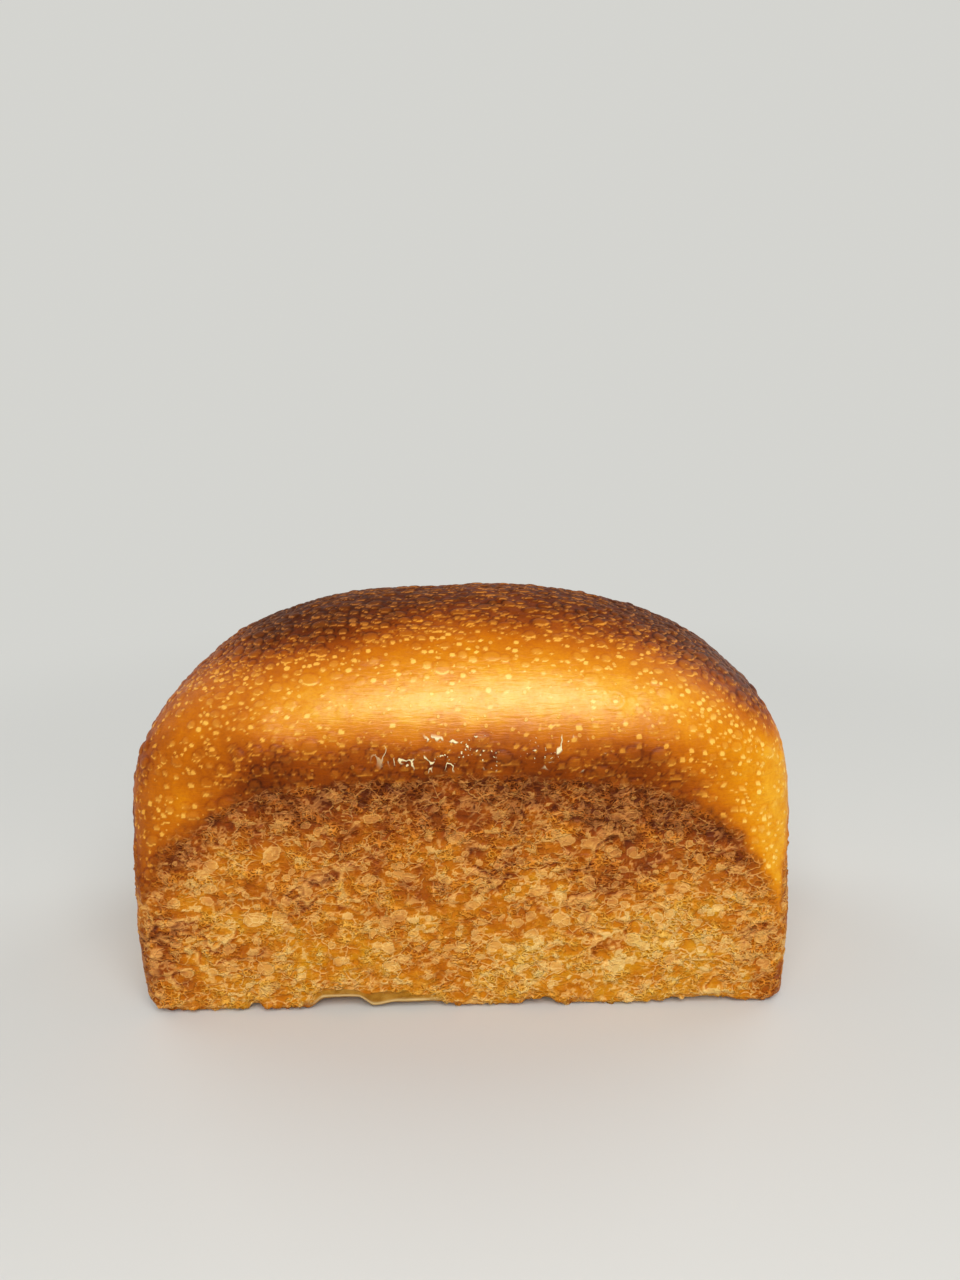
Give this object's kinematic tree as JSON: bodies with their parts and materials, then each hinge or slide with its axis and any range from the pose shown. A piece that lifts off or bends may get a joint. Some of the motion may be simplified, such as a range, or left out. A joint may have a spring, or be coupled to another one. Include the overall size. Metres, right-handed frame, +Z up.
{
  "type": "tin loaf",
  "caption": "Uncut loaf of bread baked in a tin, with flat tin-marked sides and a glossy browned dome, resting on its flat base.",
  "frame": {"origin": "middle of the loaf's footprint, on the surface it rests on", "axes": "+X along the loaf's length, +Y across it from the front long side to the back one, +Z up"},
  "size_m": [0.2026, 0.107, 0.123],
  "materials": {
    "crust": "baked bread crust: glossy golden to dark brown dome with small pale blisters, matte straw to brown frothy skin where the tin touched"
  },
  "bodies": {
    "root": {"loaf": "crust"}
  },
  "joints": []
}
